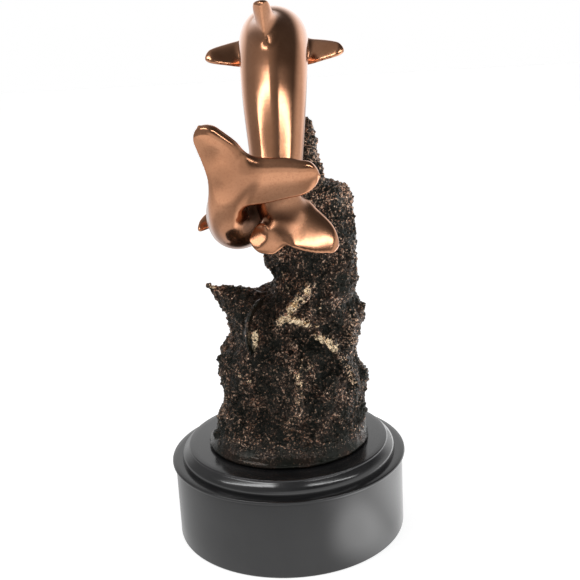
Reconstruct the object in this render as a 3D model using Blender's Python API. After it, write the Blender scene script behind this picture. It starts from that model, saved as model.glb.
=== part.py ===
"""A bronze dolphin trophy: two dolphins leap away over a coral reef on a round black plinth.

Four pieces, each one solid: the plinth, the reef, the upper dolphin and the lower dolphin.
Metres, +Z up. The origin is the centre of the plinth's underside. The dolphins swim towards +Y.
"""

import math

import bmesh
import bpy
import numpy as np
from mathutils import Vector, noise

# Turned plinth
PLINTH_RADIUS = 0.0635
PLINTH_HEIGHT = 0.0510
LIP_OVERHANG = 0.0016
LIP_HEIGHT = 0.0020
LIP_GROOVE = 0.0008
TOP_DISC_INSET = 0.0080
TOP_DISC_RADIUS = PLINTH_RADIUS - TOP_DISC_INSET
COVE_RISE = 0.0072
COVE_FOOT = 0.0040
COVE_FILLET = 0.0003
FOOT_CHAMFER = 0.0008
PLINTH_SEGMENTS = 48
COVE_STEPS = 4

# Reef
REEF_HEIGHT = 0.1762
BARE_RIM = 0.0110
REEF_FOOT_RADIUS = TOP_DISC_RADIUS - BARE_RIM
REEF_SIDES = 42
REEF_RINGS = 46

# Dolphins, beak tip to fluke notch
UPPER_LENGTH = 0.2120
LOWER_LENGTH = 0.1880
BODY_RINGS = 28
BODY_SIDES = 16
FIN_RINGS = 7
FIN_SIDES = 10
LIMB_SIDES = 8
LIMB_RINGS_PER_ROW = 2

# Gap between castings that touch
CLEARANCE = 0.0003

# Edges sharper than this stay sharp in the shading
SHARP_EDGE = math.radians(50)

# Reef sections as shares of the reef's height above the plinth and of its foot radius:
# height, middle x, middle y, half-width in x, half-depth in y.
REEF_SECTIONS = (
    (0.000, 0.01, -0.02, 1.00, 0.98),
    (0.027, 0.03, -0.02, 0.98, 0.92),
    (0.062, 0.07, 0.00, 0.93, 0.84),
    (0.119, 0.11, 0.00, 0.90, 0.79),
    (0.199, 0.11, 0.00, 0.92, 0.77),
    (0.255, 0.05, 0.00, 0.84, 0.75),
    (0.295, 0.06, 0.02, 0.84, 0.73),
    (0.335, 0.17, 0.02, 0.78, 0.70),
    (0.392, 0.17, 0.02, 0.80, 0.67),
    (0.449, 0.14, 0.02, 0.78, 0.65),
    (0.483, 0.34, 0.01, 0.60, 0.59),
    (0.520, 0.41, 0.00, 0.54, 0.55),
    (0.551, 0.42, 0.00, 0.54, 0.54),
    (0.619, 0.38, 0.00, 0.57, 0.52),
    (0.709, 0.37, 0.00, 0.53, 0.52),
    (0.790, 0.37, -0.02, 0.49, 0.50),
    (0.809, 0.31, -0.06, 0.35, 0.46),
    (0.846, 0.28, -0.11, 0.33, 0.45),
    (0.903, 0.29, -0.07, 0.26, 0.38),
    (0.954, 0.34, 0.00, 0.165, 0.25),
    (0.982, 0.395, 0.02, 0.08, 0.12),
    (1.000, 0.438, 0.03, 0.02, 0.03),
)

# Knobs and hollows of the reef: bearing in degrees from +X, height share,
# reach as a share of the foot radius, spread in degrees and spread in height share.
REEF_KNOBS = (
    (2, 0.199, 0.045, 16, 0.030),
    (0, 0.405, 0.060, 14, 0.028),
    (265, 0.300, 0.060, 26, 0.070),
    (238, 0.120, -0.110, 22, 0.060),
    (300, 0.205, 0.080, 18, 0.100),
    (322, 0.330, 0.070, 16, 0.070),
    (252, 0.230, -0.060, 14, 0.060),
    (286, 0.420, 0.060, 20, 0.045),
    (225, 0.400, 0.070, 20, 0.050),
    (310, 0.620, 0.060, 24, 0.060),
    (340, 0.705, 0.035, 16, 0.030),
    (275, 0.560, -0.060, 22, 0.050),
    (60, 0.300, 0.120, 24, 0.080),
    (100, 0.150, 0.080, 30, 0.080),
    (135, 0.350, 0.090, 22, 0.060),
    (80, 0.520, 0.110, 24, 0.050),
    (50, 0.690, 0.090, 26, 0.060),
    (120, 0.640, -0.070, 24, 0.070),
    (160, 0.120, -0.060, 18, 0.050),
)

# Rough rock: broad waves and rounded lumps, which fade out towards the foot and the spire's tip
CRAG_SIZE = 0.0120
CRAG_DEPTH = 0.0030
LUMP_SIZE = 0.0135
LUMP_DEPTH = 0.0060
LUMP_MIDDLE = 0.45
FOOT_FADE = 12
TIP_FADE = 6

# Limbs of the reef: the way that the thin side faces, then rows of shares,
# x, y, height, half-width, half-thickness.
REEF_LIMBS = {
    "wing": (
        (0, 0, 1),
        (-0.10, -0.08, 0.380, 0.40, 0.26),
        (-0.36, -0.10, 0.428, 0.36, 0.27),
        (-0.60, -0.13, 0.475, 0.24, 0.17),
        (-0.83, -0.16, 0.513, 0.06, 0.035),
    ),
    "left_knob": (
        (0, 0, 1),
        (-0.46, -0.10, 0.180, 0.28, 0.22),
        (-0.61, -0.12, 0.235, 0.26, 0.20),
        (-0.71, -0.13, 0.275, 0.16, 0.12),
    ),
    "right_knob": (
        (0, 0, 1),
        (0.60, 0.02, 0.350, 0.22, 0.20),
        (0.86, 0.02, 0.388, 0.18, 0.13),
        (1.02, 0.02, 0.406, 0.08, 0.06),
    ),
    "shoulder_knob": (
        (0, 0, 1),
        (0.70, -0.05, 0.145, 0.28, 0.22),
        (0.90, -0.05, 0.185, 0.20, 0.15),
        (1.02, -0.05, 0.198, 0.09, 0.07),
    ),
    "branch_stem": (
        (0, -1, 0.3),
        (-0.04, -0.60, 0.425, 0.060, 0.060),
        (0.10, -0.70, 0.465, 0.075, 0.070),
        (0.25, -0.68, 0.510, 0.095, 0.070),
        (0.36, -0.58, 0.540, 0.070, 0.050),
    ),
    "branch_arm": (
        (0, -1, 0.3),
        (-0.02, -0.62, 0.440, 0.055, 0.055),
        (0.17, -0.72, 0.432, 0.075, 0.065),
        (0.36, -0.66, 0.420, 0.070, 0.055),
    ),
    "ridge": (
        (0.4, -1, 0.3),
        (0.34, -0.56, 0.405, 0.060, 0.055),
        (0.50, -0.66, 0.355, 0.085, 0.070),
        (0.68, -0.60, 0.290, 0.085, 0.070),
        (0.86, -0.44, 0.195, 0.075, 0.060),
    ),
    "rib": (
        (0, -1, 0.2),
        (0.14, -0.62, 0.300, 0.055, 0.055),
        (0.15, -0.80, 0.230, 0.080, 0.070),
        (0.11, -0.82, 0.160, 0.100, 0.080),
        (0.06, -0.78, 0.100, 0.080, 0.060),
    ),
    "shell": (
        (1, -0.25, 0),
        (-0.21, -0.54, 0.500, 0.050, 0.025),
        (-0.35, -0.60, 0.440, 0.150, 0.045),
        (-0.38, -0.60, 0.385, 0.150, 0.045),
        (-0.32, -0.56, 0.340, 0.050, 0.025),
    ),
}

# Body of the upper dolphin as shares of its length, from the beak to the fluke root:
# x, y, z from the seat, half-width, back height, belly depth, roll in degrees.
UPPER_BODY = (
    (0.019, 0.494, 0.036, 0.009, 0.007, 0.009, 6),
    (0.019, 0.487, 0.040, 0.019, 0.013, 0.016, 6),
    (0.019, 0.465, 0.052, 0.025, 0.018, 0.020, 6),
    (0.018, 0.437, 0.068, 0.031, 0.024, 0.026, 7),
    (0.017, 0.418, 0.079, 0.041, 0.043, 0.036, 8),
    (0.016, 0.388, 0.097, 0.056, 0.060, 0.050, 9),
    (0.014, 0.330, 0.126, 0.070, 0.072, 0.066, 10),
    (0.012, 0.240, 0.157, 0.083, 0.083, 0.079, 11),
    (0.010, 0.130, 0.163, 0.086, 0.086, 0.083, 12),
    (0.007, 0.038, 0.123, 0.083, 0.083, 0.080, 12),
    (0.003, -0.057, 0.033, 0.075, 0.073, 0.070, 10),
    (0.000, -0.156, -0.089, 0.061, 0.060, 0.058, 6),
    (-0.003, -0.208, -0.158, 0.053, 0.052, 0.050, -4),
    (0.004, -0.232, -0.205, 0.049, 0.036, 0.036, -10),
    (0.015, -0.248, -0.245, 0.036, 0.018, 0.018, -14),
)
UPPER_SEAT = (0.045, 0.000, 1.016)

# Body of the lower dolphin in the same form.
LOWER_BODY = (
    (-0.006, 0.515, -0.130, 0.010, 0.008, 0.010, -4),
    (-0.006, 0.507, -0.127, 0.021, 0.015, 0.018, -4),
    (-0.006, 0.482, -0.119, 0.028, 0.020, 0.023, -4),
    (-0.005, 0.451, -0.110, 0.034, 0.027, 0.029, -5),
    (-0.004, 0.430, -0.103, 0.046, 0.048, 0.040, -6),
    (-0.003, 0.397, -0.091, 0.062, 0.066, 0.056, -7),
    (-0.002, 0.320, -0.062, 0.078, 0.080, 0.074, -8),
    (0.000, 0.205, -0.030, 0.091, 0.091, 0.090, -10),
    (0.000, 0.070, -0.006, 0.097, 0.096, 0.098, -12),
    (0.000, -0.065, 0.002, 0.091, 0.090, 0.092, -15),
    (-0.008, -0.190, 0.010, 0.070, 0.068, 0.070, -18),
    (-0.018, -0.268, 0.040, 0.053, 0.050, 0.052, -21),
    (-0.018, -0.304, 0.090, 0.047, 0.042, 0.042, -24),
    (-0.002, -0.317, 0.135, 0.046, 0.030, 0.030, -26),
    (0.022, -0.320, 0.172, 0.034, 0.016, 0.016, -28),
)
LOWER_SEAT = (-0.416, 0.000, 0.728)

# How much thicker a fin's section is towards its fuller edge, as a share
FULLER_EDGE = 0.55

# How a fin's rings crowd towards its tip, and how far the tip is drawn in
TIP_CROWDING = 1.6
TIP_END = 0.98

# Fins as shares of the body's length, from the seat: each row is the middle of one chord,
# x, y, z, then half the chord as a vector x, y, z to its fuller edge, then half the thickness.
UPPER_FINS = {
    "fluke_right": (
        (0.009, -0.238, -0.217, -0.005, 0.072, 0.046, 0.022),
        (0.047, -0.243, -0.230, 0.006, 0.069, 0.044, 0.022),
        (0.074, -0.248, -0.246, 0.004, 0.058, 0.037, 0.021),
        (0.098, -0.253, -0.259, 0.002, 0.044, 0.028, 0.019),
        (0.113, -0.257, -0.269, 0.001, 0.033, 0.021, 0.016),
        (0.127, -0.260, -0.279, 0.000, 0.019, 0.012, 0.012),
    ),
    "fluke_left": (
        (0.007, -0.246, -0.222, -0.008, 0.050, 0.046, 0.022),
        (-0.022, -0.272, -0.246, -0.010, 0.024, 0.037, 0.024),
        (-0.042, -0.289, -0.251, -0.007, 0.017, 0.032, 0.025),
        (-0.056, -0.295, -0.250, -0.004, 0.020, 0.031, 0.025),
        (-0.069, -0.294, -0.249, -0.001, 0.021, 0.030, 0.023),
    ),
    "dorsal_fin": (
        (0.000, 0.030, 0.156, 0.003, 0.062, 0.044, 0.026),
        (-0.008, 0.010, 0.198, 0.002, 0.048, 0.030, 0.022),
        (-0.013, -0.008, 0.223, 0.001, 0.035, 0.019, 0.020),
        (-0.016, -0.026, 0.242, 0.000, 0.022, 0.010, 0.018),
        (-0.018, -0.043, 0.257, 0.000, 0.011, 0.004, 0.013),
    ),
    "pectoral_right": (
        (0.060, 0.250, 0.130, 0.000, 0.052, 0.030, 0.021),
        (0.104, 0.238, 0.130, 0.004, 0.048, 0.027, 0.020),
        (0.142, 0.222, 0.132, 0.006, 0.038, 0.020, 0.018),
        (0.170, 0.207, 0.133, 0.006, 0.027, 0.014, 0.015),
        (0.190, 0.195, 0.133, 0.004, 0.014, 0.007, 0.011),
    ),
    "pectoral_left": (
        (-0.040, 0.250, 0.133, 0.000, 0.052, 0.030, 0.021),
        (-0.084, 0.238, 0.133, -0.004, 0.048, 0.027, 0.020),
        (-0.120, 0.222, 0.132, -0.006, 0.038, 0.020, 0.018),
        (-0.148, 0.207, 0.131, -0.006, 0.027, 0.014, 0.015),
        (-0.168, 0.195, 0.130, -0.004, 0.014, 0.007, 0.011),
    ),
}
LOWER_FINS = {
    "fluke_right": (
        (0.018, -0.316, 0.130, 0.015, 0.003, 0.059, 0.025),
        (0.073, -0.322, 0.131, 0.006, 0.004, 0.056, 0.025),
        (0.124, -0.326, 0.134, 0.007, 0.004, 0.050, 0.024),
        (0.165, -0.330, 0.134, 0.007, 0.004, 0.043, 0.023),
        (0.187, -0.332, 0.136, 0.004, 0.003, 0.037, 0.020),
        (0.209, -0.333, 0.137, 0.002, 0.001, 0.030, 0.018),
    ),
    "fluke_left": (
        (0.015, -0.314, 0.120, 0.048, -0.004, 0.053, 0.025),
        (-0.009, -0.322, 0.165, 0.050, -0.003, 0.027, 0.025),
        (-0.028, -0.327, 0.204, 0.043, -0.003, 0.024, 0.025),
        (-0.046, -0.331, 0.231, 0.035, -0.003, 0.020, 0.025),
        (-0.059, -0.333, 0.250, 0.029, -0.002, 0.017, 0.023),
        (-0.072, -0.335, 0.270, 0.025, -0.002, 0.014, 0.020),
    ),
    "dorsal_fin": (
        (0.012, 0.050, 0.070, 0.002, 0.062, -0.014, 0.026),
        (0.026, 0.024, 0.114, 0.001, 0.046, -0.012, 0.021),
        (0.038, 0.004, 0.138, 0.001, 0.032, -0.009, 0.018),
        (0.048, -0.014, 0.156, 0.000, 0.020, -0.006, 0.015),
        (0.055, -0.029, 0.169, 0.000, 0.010, -0.003, 0.011),
    ),
    "pectoral_left": (
        (-0.060, 0.240, -0.045, 0.000, 0.054, 0.014, 0.020),
        (-0.092, 0.222, -0.058, -0.002, 0.046, 0.012, 0.018),
        (-0.114, 0.200, -0.066, -0.004, 0.035, 0.010, 0.016),
        (-0.128, 0.180, -0.072, -0.004, 0.023, 0.007, 0.013),
        (-0.136, 0.165, -0.075, -0.002, 0.013, 0.003, 0.010),
    ),
    "pectoral_right": (
        (0.055, 0.262, -0.072, 0.000, 0.054, 0.010, 0.020),
        (0.090, 0.244, -0.098, 0.002, 0.046, 0.008, 0.018),
        (0.114, 0.222, -0.116, 0.004, 0.035, 0.006, 0.016),
        (0.130, 0.202, -0.128, 0.004, 0.023, 0.004, 0.013),
        (0.138, 0.188, -0.134, 0.002, 0.013, 0.003, 0.010),
    ),
}


def clear_scene():
    for thing in list(bpy.data.objects):
        bpy.data.objects.remove(thing, do_unlink=True)


def material(name, color, metallic, roughness):
    made = bpy.data.materials.new(name)
    made.use_nodes = True
    shader = made.node_tree.nodes["Principled BSDF"]
    shader.inputs["Base Color"].default_value = (*color, 1)
    shader.inputs["Metallic"].default_value = metallic
    shader.inputs["Roughness"].default_value = roughness
    return made


def skin(name, rings, finish):
    """A closed object over a row of rings, which all have the same number of points."""
    shape = bmesh.new()
    loops = [[shape.verts.new(point) for point in ring] for ring in rings]
    count = len(loops[0])
    for first, second in zip(loops, loops[1:]):
        for i in range(count):
            j = (i + 1) % count
            shape.faces.new((first[i], first[j], second[j], second[i]))
    shape.faces.new(loops[0])
    shape.faces.new(loops[-1])
    bmesh.ops.recalc_face_normals(shape, faces=shape.faces)
    mesh = bpy.data.meshes.new(name)
    shape.to_mesh(mesh)
    shape.free()
    mesh.materials.append(finish)
    mesh.shade_smooth()
    mesh.set_sharp_from_angle(angle=SHARP_EDGE)
    made = bpy.data.objects.new(name, mesh)
    bpy.context.scene.collection.objects.link(made)
    return made


def combine(target, other, operation, solver="EXACT"):
    """Adds another object to the target, or cuts it out, and leaves the other as a hidden helper."""
    change = target.modifiers.new(other.name, "BOOLEAN")
    change.operation = operation
    change.solver = solver
    change.object = other
    other.hide_render = True
    other.display_type = "WIRE"


def along(rows, count, crowding=1):
    """Rows of numbers read at count steps along a smooth curve through them, closer towards its end."""
    rows = np.array(rows, float)
    before = 2 * rows[0] - rows[1]
    after = 2 * rows[-1] - rows[-2]
    rows = np.vstack((before, rows, after))
    spans = len(rows) - 3
    found = []
    for place in spans * (1 - (1 - np.linspace(0, 1, count)) ** crowding):
        i = min(int(place), spans - 1)
        t = place - i
        a, b, c, d = rows[i : i + 4]
        found.append(
            b + 0.5 * t * (c - a)
            + t * t * (a - 2.5 * b + 2 * c - 0.5 * d)
            + t * t * t * (1.5 * (b - c) + 0.5 * (d - a))
        )
    return np.array(found)


def unit(vector):
    return vector / np.linalg.norm(vector)


def plinth():
    """The turned drum: a profile of radii and heights from the underside to the top disc."""
    ledge = PLINTH_HEIGHT - COVE_RISE
    lip = PLINTH_RADIUS + LIP_OVERHANG
    profile = [
        (PLINTH_RADIUS - FOOT_CHAMFER, 0),
        (PLINTH_RADIUS, FOOT_CHAMFER),
        (PLINTH_RADIUS, ledge - LIP_HEIGHT - LIP_GROOVE),
        (PLINTH_RADIUS - LIP_GROOVE, ledge - LIP_HEIGHT - LIP_GROOVE),
        (PLINTH_RADIUS - LIP_GROOVE, ledge - LIP_HEIGHT),
        (lip - LIP_GROOVE, ledge - LIP_HEIGHT),
        (lip, ledge - LIP_HEIGHT + LIP_GROOVE),
        (lip, ledge - LIP_GROOVE / 2),
        (lip - LIP_GROOVE, ledge),
    ]
    rim = PLINTH_HEIGHT - FOOT_CHAMFER
    for step in range(COVE_STEPS + 1):
        turn = math.radians(90) * step / COVE_STEPS
        reach = TOP_DISC_RADIUS + COVE_FILLET + COVE_FOOT * (1 - math.sin(turn))
        height = rim - (rim - ledge - COVE_FILLET) * math.cos(turn)
        profile.append((reach, height))
    profile.append((TOP_DISC_RADIUS, PLINTH_HEIGHT))
    rings = []
    for radius, height in profile:
        turns = [2 * math.pi * i / PLINTH_SEGMENTS for i in range(PLINTH_SEGMENTS)]
        rings.append([(radius * math.cos(t), radius * math.sin(t), height) for t in turns])
    skin("plinth", rings, material("black_lacquer", (0.018, 0.018, 0.020), 0, 0.32))


def knob_reach(bearing, height):
    """How far the knobs push the reef's surface out at a bearing in degrees and a height share."""
    total = 0
    for middle, level, reach, width, tall in REEF_KNOBS:
        turn = (bearing - middle + 180) % 360 - 180
        total += reach * math.exp(-((turn / width) ** 2) - ((height - level) / tall) ** 2)
    return total


def crag_height(point):
    """The rough rise of the rock at a point: broad waves and rounded lumps with creases between."""
    waves = noise.noise(point / CRAG_SIZE)
    lumps = LUMP_MIDDLE - noise.voronoi(point / LUMP_SIZE)[0][0]
    return CRAG_DEPTH * waves + LUMP_DEPTH * lumps


def reef_rings():
    """Rings of rock from the foot to the spire's tip."""
    foot = PLINTH_HEIGHT + CLEARANCE
    sections = along(REEF_SECTIONS, REEF_RINGS)
    rings = []
    for share, x, y, wide, deep in sections:
        ring = []
        fade = min(1, FOOT_FADE * share, TIP_FADE * (1 - share))
        for i in range(REEF_SIDES):
            turn = 2 * math.pi * i / REEF_SIDES
            push = knob_reach(math.degrees(turn), share)
            point = Vector((
                REEF_FOOT_RADIUS * (x + (wide + push) * math.cos(turn)),
                REEF_FOOT_RADIUS * (y + (deep + push) * math.sin(turn)),
                foot + REEF_HEIGHT * max(share, 0),
            ))
            crag = fade * crag_height(point)
            point.x += crag * math.cos(turn)
            point.y += crag * math.sin(turn)
            ring.append(point)
        rings.append(ring)
    return rings


def reef_limb(name, facing, rows, finish):
    """A knob, branch, ridge or shell that stands out of the rock."""
    foot = PLINTH_HEIGHT + CLEARANCE
    spine = []
    for x, y, share, wide, thick in along(rows, LIMB_RINGS_PER_ROW * len(rows)):
        middle = (REEF_FOOT_RADIUS * x, REEF_FOOT_RADIUS * y, foot + REEF_HEIGHT * share)
        spine.append((*middle, REEF_FOOT_RADIUS * wide, REEF_FOOT_RADIUS * thick))
    spine = np.array(spine)
    rings = []
    for i, (x, y, z, wide, thick) in enumerate(spine):
        ahead = unit(spine[min(i + 1, len(spine) - 1), :3] - spine[max(i - 1, 0), :3])
        side = unit(np.cross(ahead, facing))
        up = np.cross(side, ahead)
        ring = []
        for k in range(LIMB_SIDES):
            turn = 2 * math.pi * k / LIMB_SIDES
            point = np.array((x, y, z)) + side * wide * math.cos(turn) + up * thick * math.sin(turn)
            ring.append(point)
        rings.append(ring)
    return skin("reef_" + name, rings, finish)


def rounded_tip(rows):
    """Fin rows drawn in towards the tip, so that it ends in a half circle as wide as its last row."""
    steps = np.linalg.norm(np.diff(rows[:, :3], axis=0), axis=1)
    left = np.append(np.cumsum(steps[::-1])[::-1], 0)
    reach = np.linalg.norm(rows[-1, 3:6])
    near = TIP_END * (1 - np.minimum(left / reach, 1))
    rows[:, 3:] *= np.sqrt(1 - near**2)[:, None]
    return rows


def seat(share):
    """The place that a dolphin's shares are measured from, on the reef."""
    x, y, z = share
    foot = PLINTH_HEIGHT + CLEARANCE
    return np.array((REEF_FOOT_RADIUS * x, REEF_FOOT_RADIUS * y, foot + REEF_HEIGHT * z))


def body(name, rows, length, place, finish, grow=0):
    """A body over oval rings, grown by the gap where it is used to cut its seat in the reef."""
    rows = along(rows, BODY_RINGS)
    points = place + length * rows[:, :3]
    rings = []
    for i, (wide, high, low, roll) in enumerate(rows[:, 3:]):
        ahead = unit(points[max(i - 1, 0)] - points[min(i + 1, len(points) - 1)])
        tilt = math.radians(roll)
        side = np.array((math.cos(tilt), 0, math.sin(tilt)))
        side = unit(side - ahead * (side @ ahead))
        up = np.cross(side, ahead)
        ring = []
        for k in range(BODY_SIDES):
            turn = 2 * math.pi * k / BODY_SIDES
            rise = high if math.sin(turn) > 0 else low
            out = side * (length * wide + grow) * math.cos(turn)
            out = out + up * (length * rise + grow) * math.sin(turn)
            ring.append(points[i] + out)
        rings.append(ring)
    return skin(name, rings, finish)


def fin(name, rows, length, place, finish, grow=0):
    """A fin over lens-shaped chords, fuller at one edge, from inside the body to its tip."""
    rows = rounded_tip(along(rows, FIN_RINGS, TIP_CROWDING))
    points = place + length * rows[:, :3]
    rings = []
    for i, row in enumerate(rows):
        half = length * row[3:6]
        ahead = unit(points[min(i + 1, len(points) - 1)] - points[max(i - 1, 0)])
        across = unit(np.cross(ahead, half))
        reach = half * (1 + grow / np.linalg.norm(half))
        thick = length * row[6] + grow
        ring = []
        for k in range(FIN_SIDES):
            turn = 2 * math.pi * k / FIN_SIDES
            rise = math.sin(turn) * (1 + FULLER_EDGE * math.cos(turn))
            ring.append(points[i] + reach * math.cos(turn) + across * thick * rise)
        rings.append(ring)
    return skin(name, rings, finish)


def dolphin(name, rows, fins, length, place, finish):
    """One casting: the body with its fins joined to it."""
    whole = body(name, rows, length, place, finish)
    for label, fin_rows in fins.items():
        combine(whole, fin(name + "_" + label, fin_rows, length, place, finish), "UNION")


def cut_room(reef, name, rows, fins, length, place, finish):
    """Cuts the reef back to the named gap where a dolphin lies against it."""
    room = body(name + "_room", rows, length, place, finish, CLEARANCE)
    combine(reef, room, "DIFFERENCE", "MANIFOLD")
    for label, fin_rows in fins.items():
        room = fin(name + "_" + label + "_room", fin_rows, length, place, finish, CLEARANCE)
        combine(reef, room, "DIFFERENCE", "MANIFOLD")


def main():
    clear_scene()
    bronze = material("copper_bronze", (0.52, 0.28, 0.16), 1, 0.22)
    reef_bronze = material("antique_bronze", (0.075, 0.050, 0.036), 0.8, 0.55)
    plinth()
    upper = (UPPER_BODY, UPPER_FINS, UPPER_LENGTH, seat(UPPER_SEAT), bronze)
    lower = (LOWER_BODY, LOWER_FINS, LOWER_LENGTH, seat(LOWER_SEAT), bronze)
    dolphin("upper_dolphin", *upper)
    dolphin("lower_dolphin", *lower)
    reef = skin("coral_reef", reef_rings(), reef_bronze)
    for name, (facing, *rows) in REEF_LIMBS.items():
        combine(reef, reef_limb(name, facing, rows, reef_bronze), "UNION", "MANIFOLD")
    cut_room(reef, "upper_dolphin", *upper)
    cut_room(reef, "lower_dolphin", *lower)


main()
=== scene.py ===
"""Looks of the bronze dolphin trophy: two polished dolphins, a dark reef with copper rubbed over
its grain and a turned plinth in satin black lacquer. Metres, +Z up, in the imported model's frame.
"""

import math

import bmesh
import bpy
import numpy as np
from mathutils import Matrix, Vector, noise
from mathutils.bvhtree import BVHTree


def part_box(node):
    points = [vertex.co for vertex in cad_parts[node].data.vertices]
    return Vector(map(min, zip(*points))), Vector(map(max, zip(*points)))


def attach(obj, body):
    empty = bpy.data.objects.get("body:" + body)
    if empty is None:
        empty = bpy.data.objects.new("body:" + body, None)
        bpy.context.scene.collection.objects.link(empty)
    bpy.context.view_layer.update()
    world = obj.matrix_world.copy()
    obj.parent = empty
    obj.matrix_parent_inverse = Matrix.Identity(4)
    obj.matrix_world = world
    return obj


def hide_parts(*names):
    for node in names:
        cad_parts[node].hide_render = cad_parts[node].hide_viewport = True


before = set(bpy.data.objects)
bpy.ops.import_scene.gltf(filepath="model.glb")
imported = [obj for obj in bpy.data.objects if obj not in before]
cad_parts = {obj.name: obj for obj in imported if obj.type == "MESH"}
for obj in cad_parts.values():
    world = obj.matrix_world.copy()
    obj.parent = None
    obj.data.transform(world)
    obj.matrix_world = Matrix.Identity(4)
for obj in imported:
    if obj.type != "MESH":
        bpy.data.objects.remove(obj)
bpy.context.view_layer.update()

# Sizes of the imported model, which the pieces below stand for
PLINTH_RADIUS = 0.0635
PLINTH_HEIGHT = 0.0510
TOP_DISC_RADIUS = 0.0555
COVE_RISE = 0.0072
COVE_FOOT = 0.0040
LIP_HEIGHT = 0.0020
LIP_GROOVE = 0.0008
REEF_HEIGHT = 0.1762
REEF_FOOT_RADIUS = 0.0445
UPPER_LENGTH = 0.2120
LOWER_LENGTH = 0.1880
CLEARANCE = 0.0003
REEF_FOOT = PLINTH_HEIGHT + CLEARANCE

# Rounding of the plinth's edges: foot, groove, the lip's underside and the top disc
FOOT_EDGE = 0.0010
GROOVE_EDGE = 0.0004
LIP_EDGE = 0.0009
DISC_EDGE = 0.0007

# The cove as places from the disc's edge down to the ledge: shares of its foot and of its rise
COVE_CURVE = (
    (0.00, 0.11), (0.06, 0.15), (0.36, 0.28), (0.66, 0.43),
    (0.87, 0.59), (0.97, 0.76), (1.00, 0.90), (1.00, 1.00),
)

# Fineness of the skins, and how far round their rounded ends turn, in degrees
DOLPHIN_VOXEL = 0.00062
ROCK_VOXEL = 0.0013
REEF_VOXEL = 0.00081
BODY_RINGS = 240
BODY_SIDES = 96
FIN_RINGS = 60
FIN_SIDES = 48
LIMB_RINGS = 24
LIMB_SIDES = 14
CAP_RINGS = 7
CAP_TURN = 88
RIM_STEPS = 40
RIM_SIDES = 12
PLINTH_SEGMENTS = 288

# Radius over which a fin's root melts into the body, and how many radii round a skin it is looked for
FIN_FILLET = 0.0050
FLUKE_FILLET = 0.0042
FILLETS_ROUND = 3

# Rounds in which a point is drawn onto the skin, and the least squared slope that it is drawn by
MELT_ROUNDS = 2
MELT_SLOPE = 0.2

# How far smoothed points are pushed back, and how much patina a fin's root has
PUSH_BACK = 0.52
ROOT_PATINA = 0.6

# What the rows of the bodies and of the fins are divided by
BODY_PARTS = (1000, 1000, 1000, 1000, 1000, 1000, 1)
FIN_PARTS = 1000

# Body of the upper dolphin in thousandths of its length, from the beak to the fluke root:
# x, y, z from the seat, half-width, back height and belly depth, then its roll in degrees.
UPPER_BODY = (
    (19, 494, 36, 9, 7, 9, 6),
    (19, 487, 40, 19, 13, 16, 6),
    (19, 465, 52, 25, 18, 20, 6),
    (18, 437, 68, 31, 24, 26, 7),
    (17, 418, 79, 41, 43, 36, 8),
    (16, 388, 97, 56, 60, 50, 9),
    (14, 330, 126, 70, 72, 66, 10),
    (12, 240, 157, 83, 83, 79, 11),
    (10, 130, 163, 86, 86, 83, 12),
    (7, 38, 123, 83, 83, 80, 12),
    (3, -57, 33, 75, 73, 70, 10),
    (0, -156, -89, 61, 60, 58, 6),
    (-3, -208, -158, 53, 52, 50, -4),
    (4, -232, -205, 49, 36, 36, -10),
    (15, -248, -245, 36, 18, 18, -14),
)
UPPER_SEAT = (0.045, 0.000, 1.016)

# Body of the lower dolphin in the same form.
LOWER_BODY = (
    (-6, 515, -130, 10, 8, 10, -4),
    (-6, 507, -127, 21, 15, 18, -4),
    (-6, 482, -119, 28, 20, 23, -4),
    (-5, 451, -110, 34, 27, 29, -5),
    (-4, 430, -103, 46, 48, 40, -6),
    (-3, 397, -91, 62, 66, 56, -7),
    (-2, 320, -62, 78, 80, 74, -8),
    (0, 205, -30, 91, 91, 90, -10),
    (0, 70, -6, 97, 96, 98, -12),
    (0, -65, 2, 91, 90, 92, -15),
    (-8, -190, 10, 70, 68, 70, -18),
    (-18, -268, 40, 53, 50, 52, -21),
    (-18, -304, 90, 47, 42, 42, -24),
    (-2, -317, 135, 46, 30, 30, -26),
    (22, -320, 172, 34, 16, 16, -28),
)
LOWER_SEAT = (-0.416, 0.000, 0.728)

# How much thicker a fin's section is towards its fuller edge, as a share
FULLER_EDGE = 0.55

# How a fin's rings crowd towards its tip, and how far the tip is drawn in
TIP_CROWDING = 1.6
TIP_END = 0.98

# Fins in thousandths of the body's length, from the seat: each row is the middle of one chord,
# x, y, z, then half the chord as a vector x, y, z to its fuller edge, then half the thickness.
UPPER_FINS = {
    "fluke_right": (
        (9, -238, -217, -5, 72, 46, 22),
        (47, -243, -230, 6, 69, 44, 22),
        (74, -248, -246, 4, 58, 37, 21),
        (98, -253, -259, 2, 44, 28, 19),
        (113, -257, -269, 1, 33, 21, 16),
        (127, -260, -279, 0, 19, 12, 12),
    ),
    "fluke_left": (
        (7, -246, -222, -8, 50, 46, 22),
        (-22, -272, -246, -10, 24, 37, 24),
        (-42, -289, -251, -7, 17, 32, 25),
        (-56, -295, -250, -4, 20, 31, 25),
        (-69, -294, -249, -1, 21, 30, 23),
    ),
    "dorsal_fin": (
        (0, 30, 156, 3, 62, 44, 26),
        (-8, 10, 198, 2, 48, 30, 22),
        (-13, -8, 223, 1, 35, 19, 20),
        (-16, -26, 242, 0, 22, 10, 18),
        (-18, -43, 257, 0, 11, 4, 13),
    ),
    "pectoral_right": (
        (60, 250, 130, 0, 52, 30, 21),
        (104, 238, 130, 4, 48, 27, 20),
        (142, 222, 132, 6, 38, 20, 18),
        (170, 207, 133, 6, 27, 14, 15),
        (190, 195, 133, 4, 14, 7, 11),
    ),
    "pectoral_left": (
        (-40, 250, 133, 0, 52, 30, 21),
        (-84, 238, 133, -4, 48, 27, 20),
        (-120, 222, 132, -6, 38, 20, 18),
        (-148, 207, 131, -6, 27, 14, 15),
        (-168, 195, 130, -4, 14, 7, 11),
    ),
}
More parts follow.
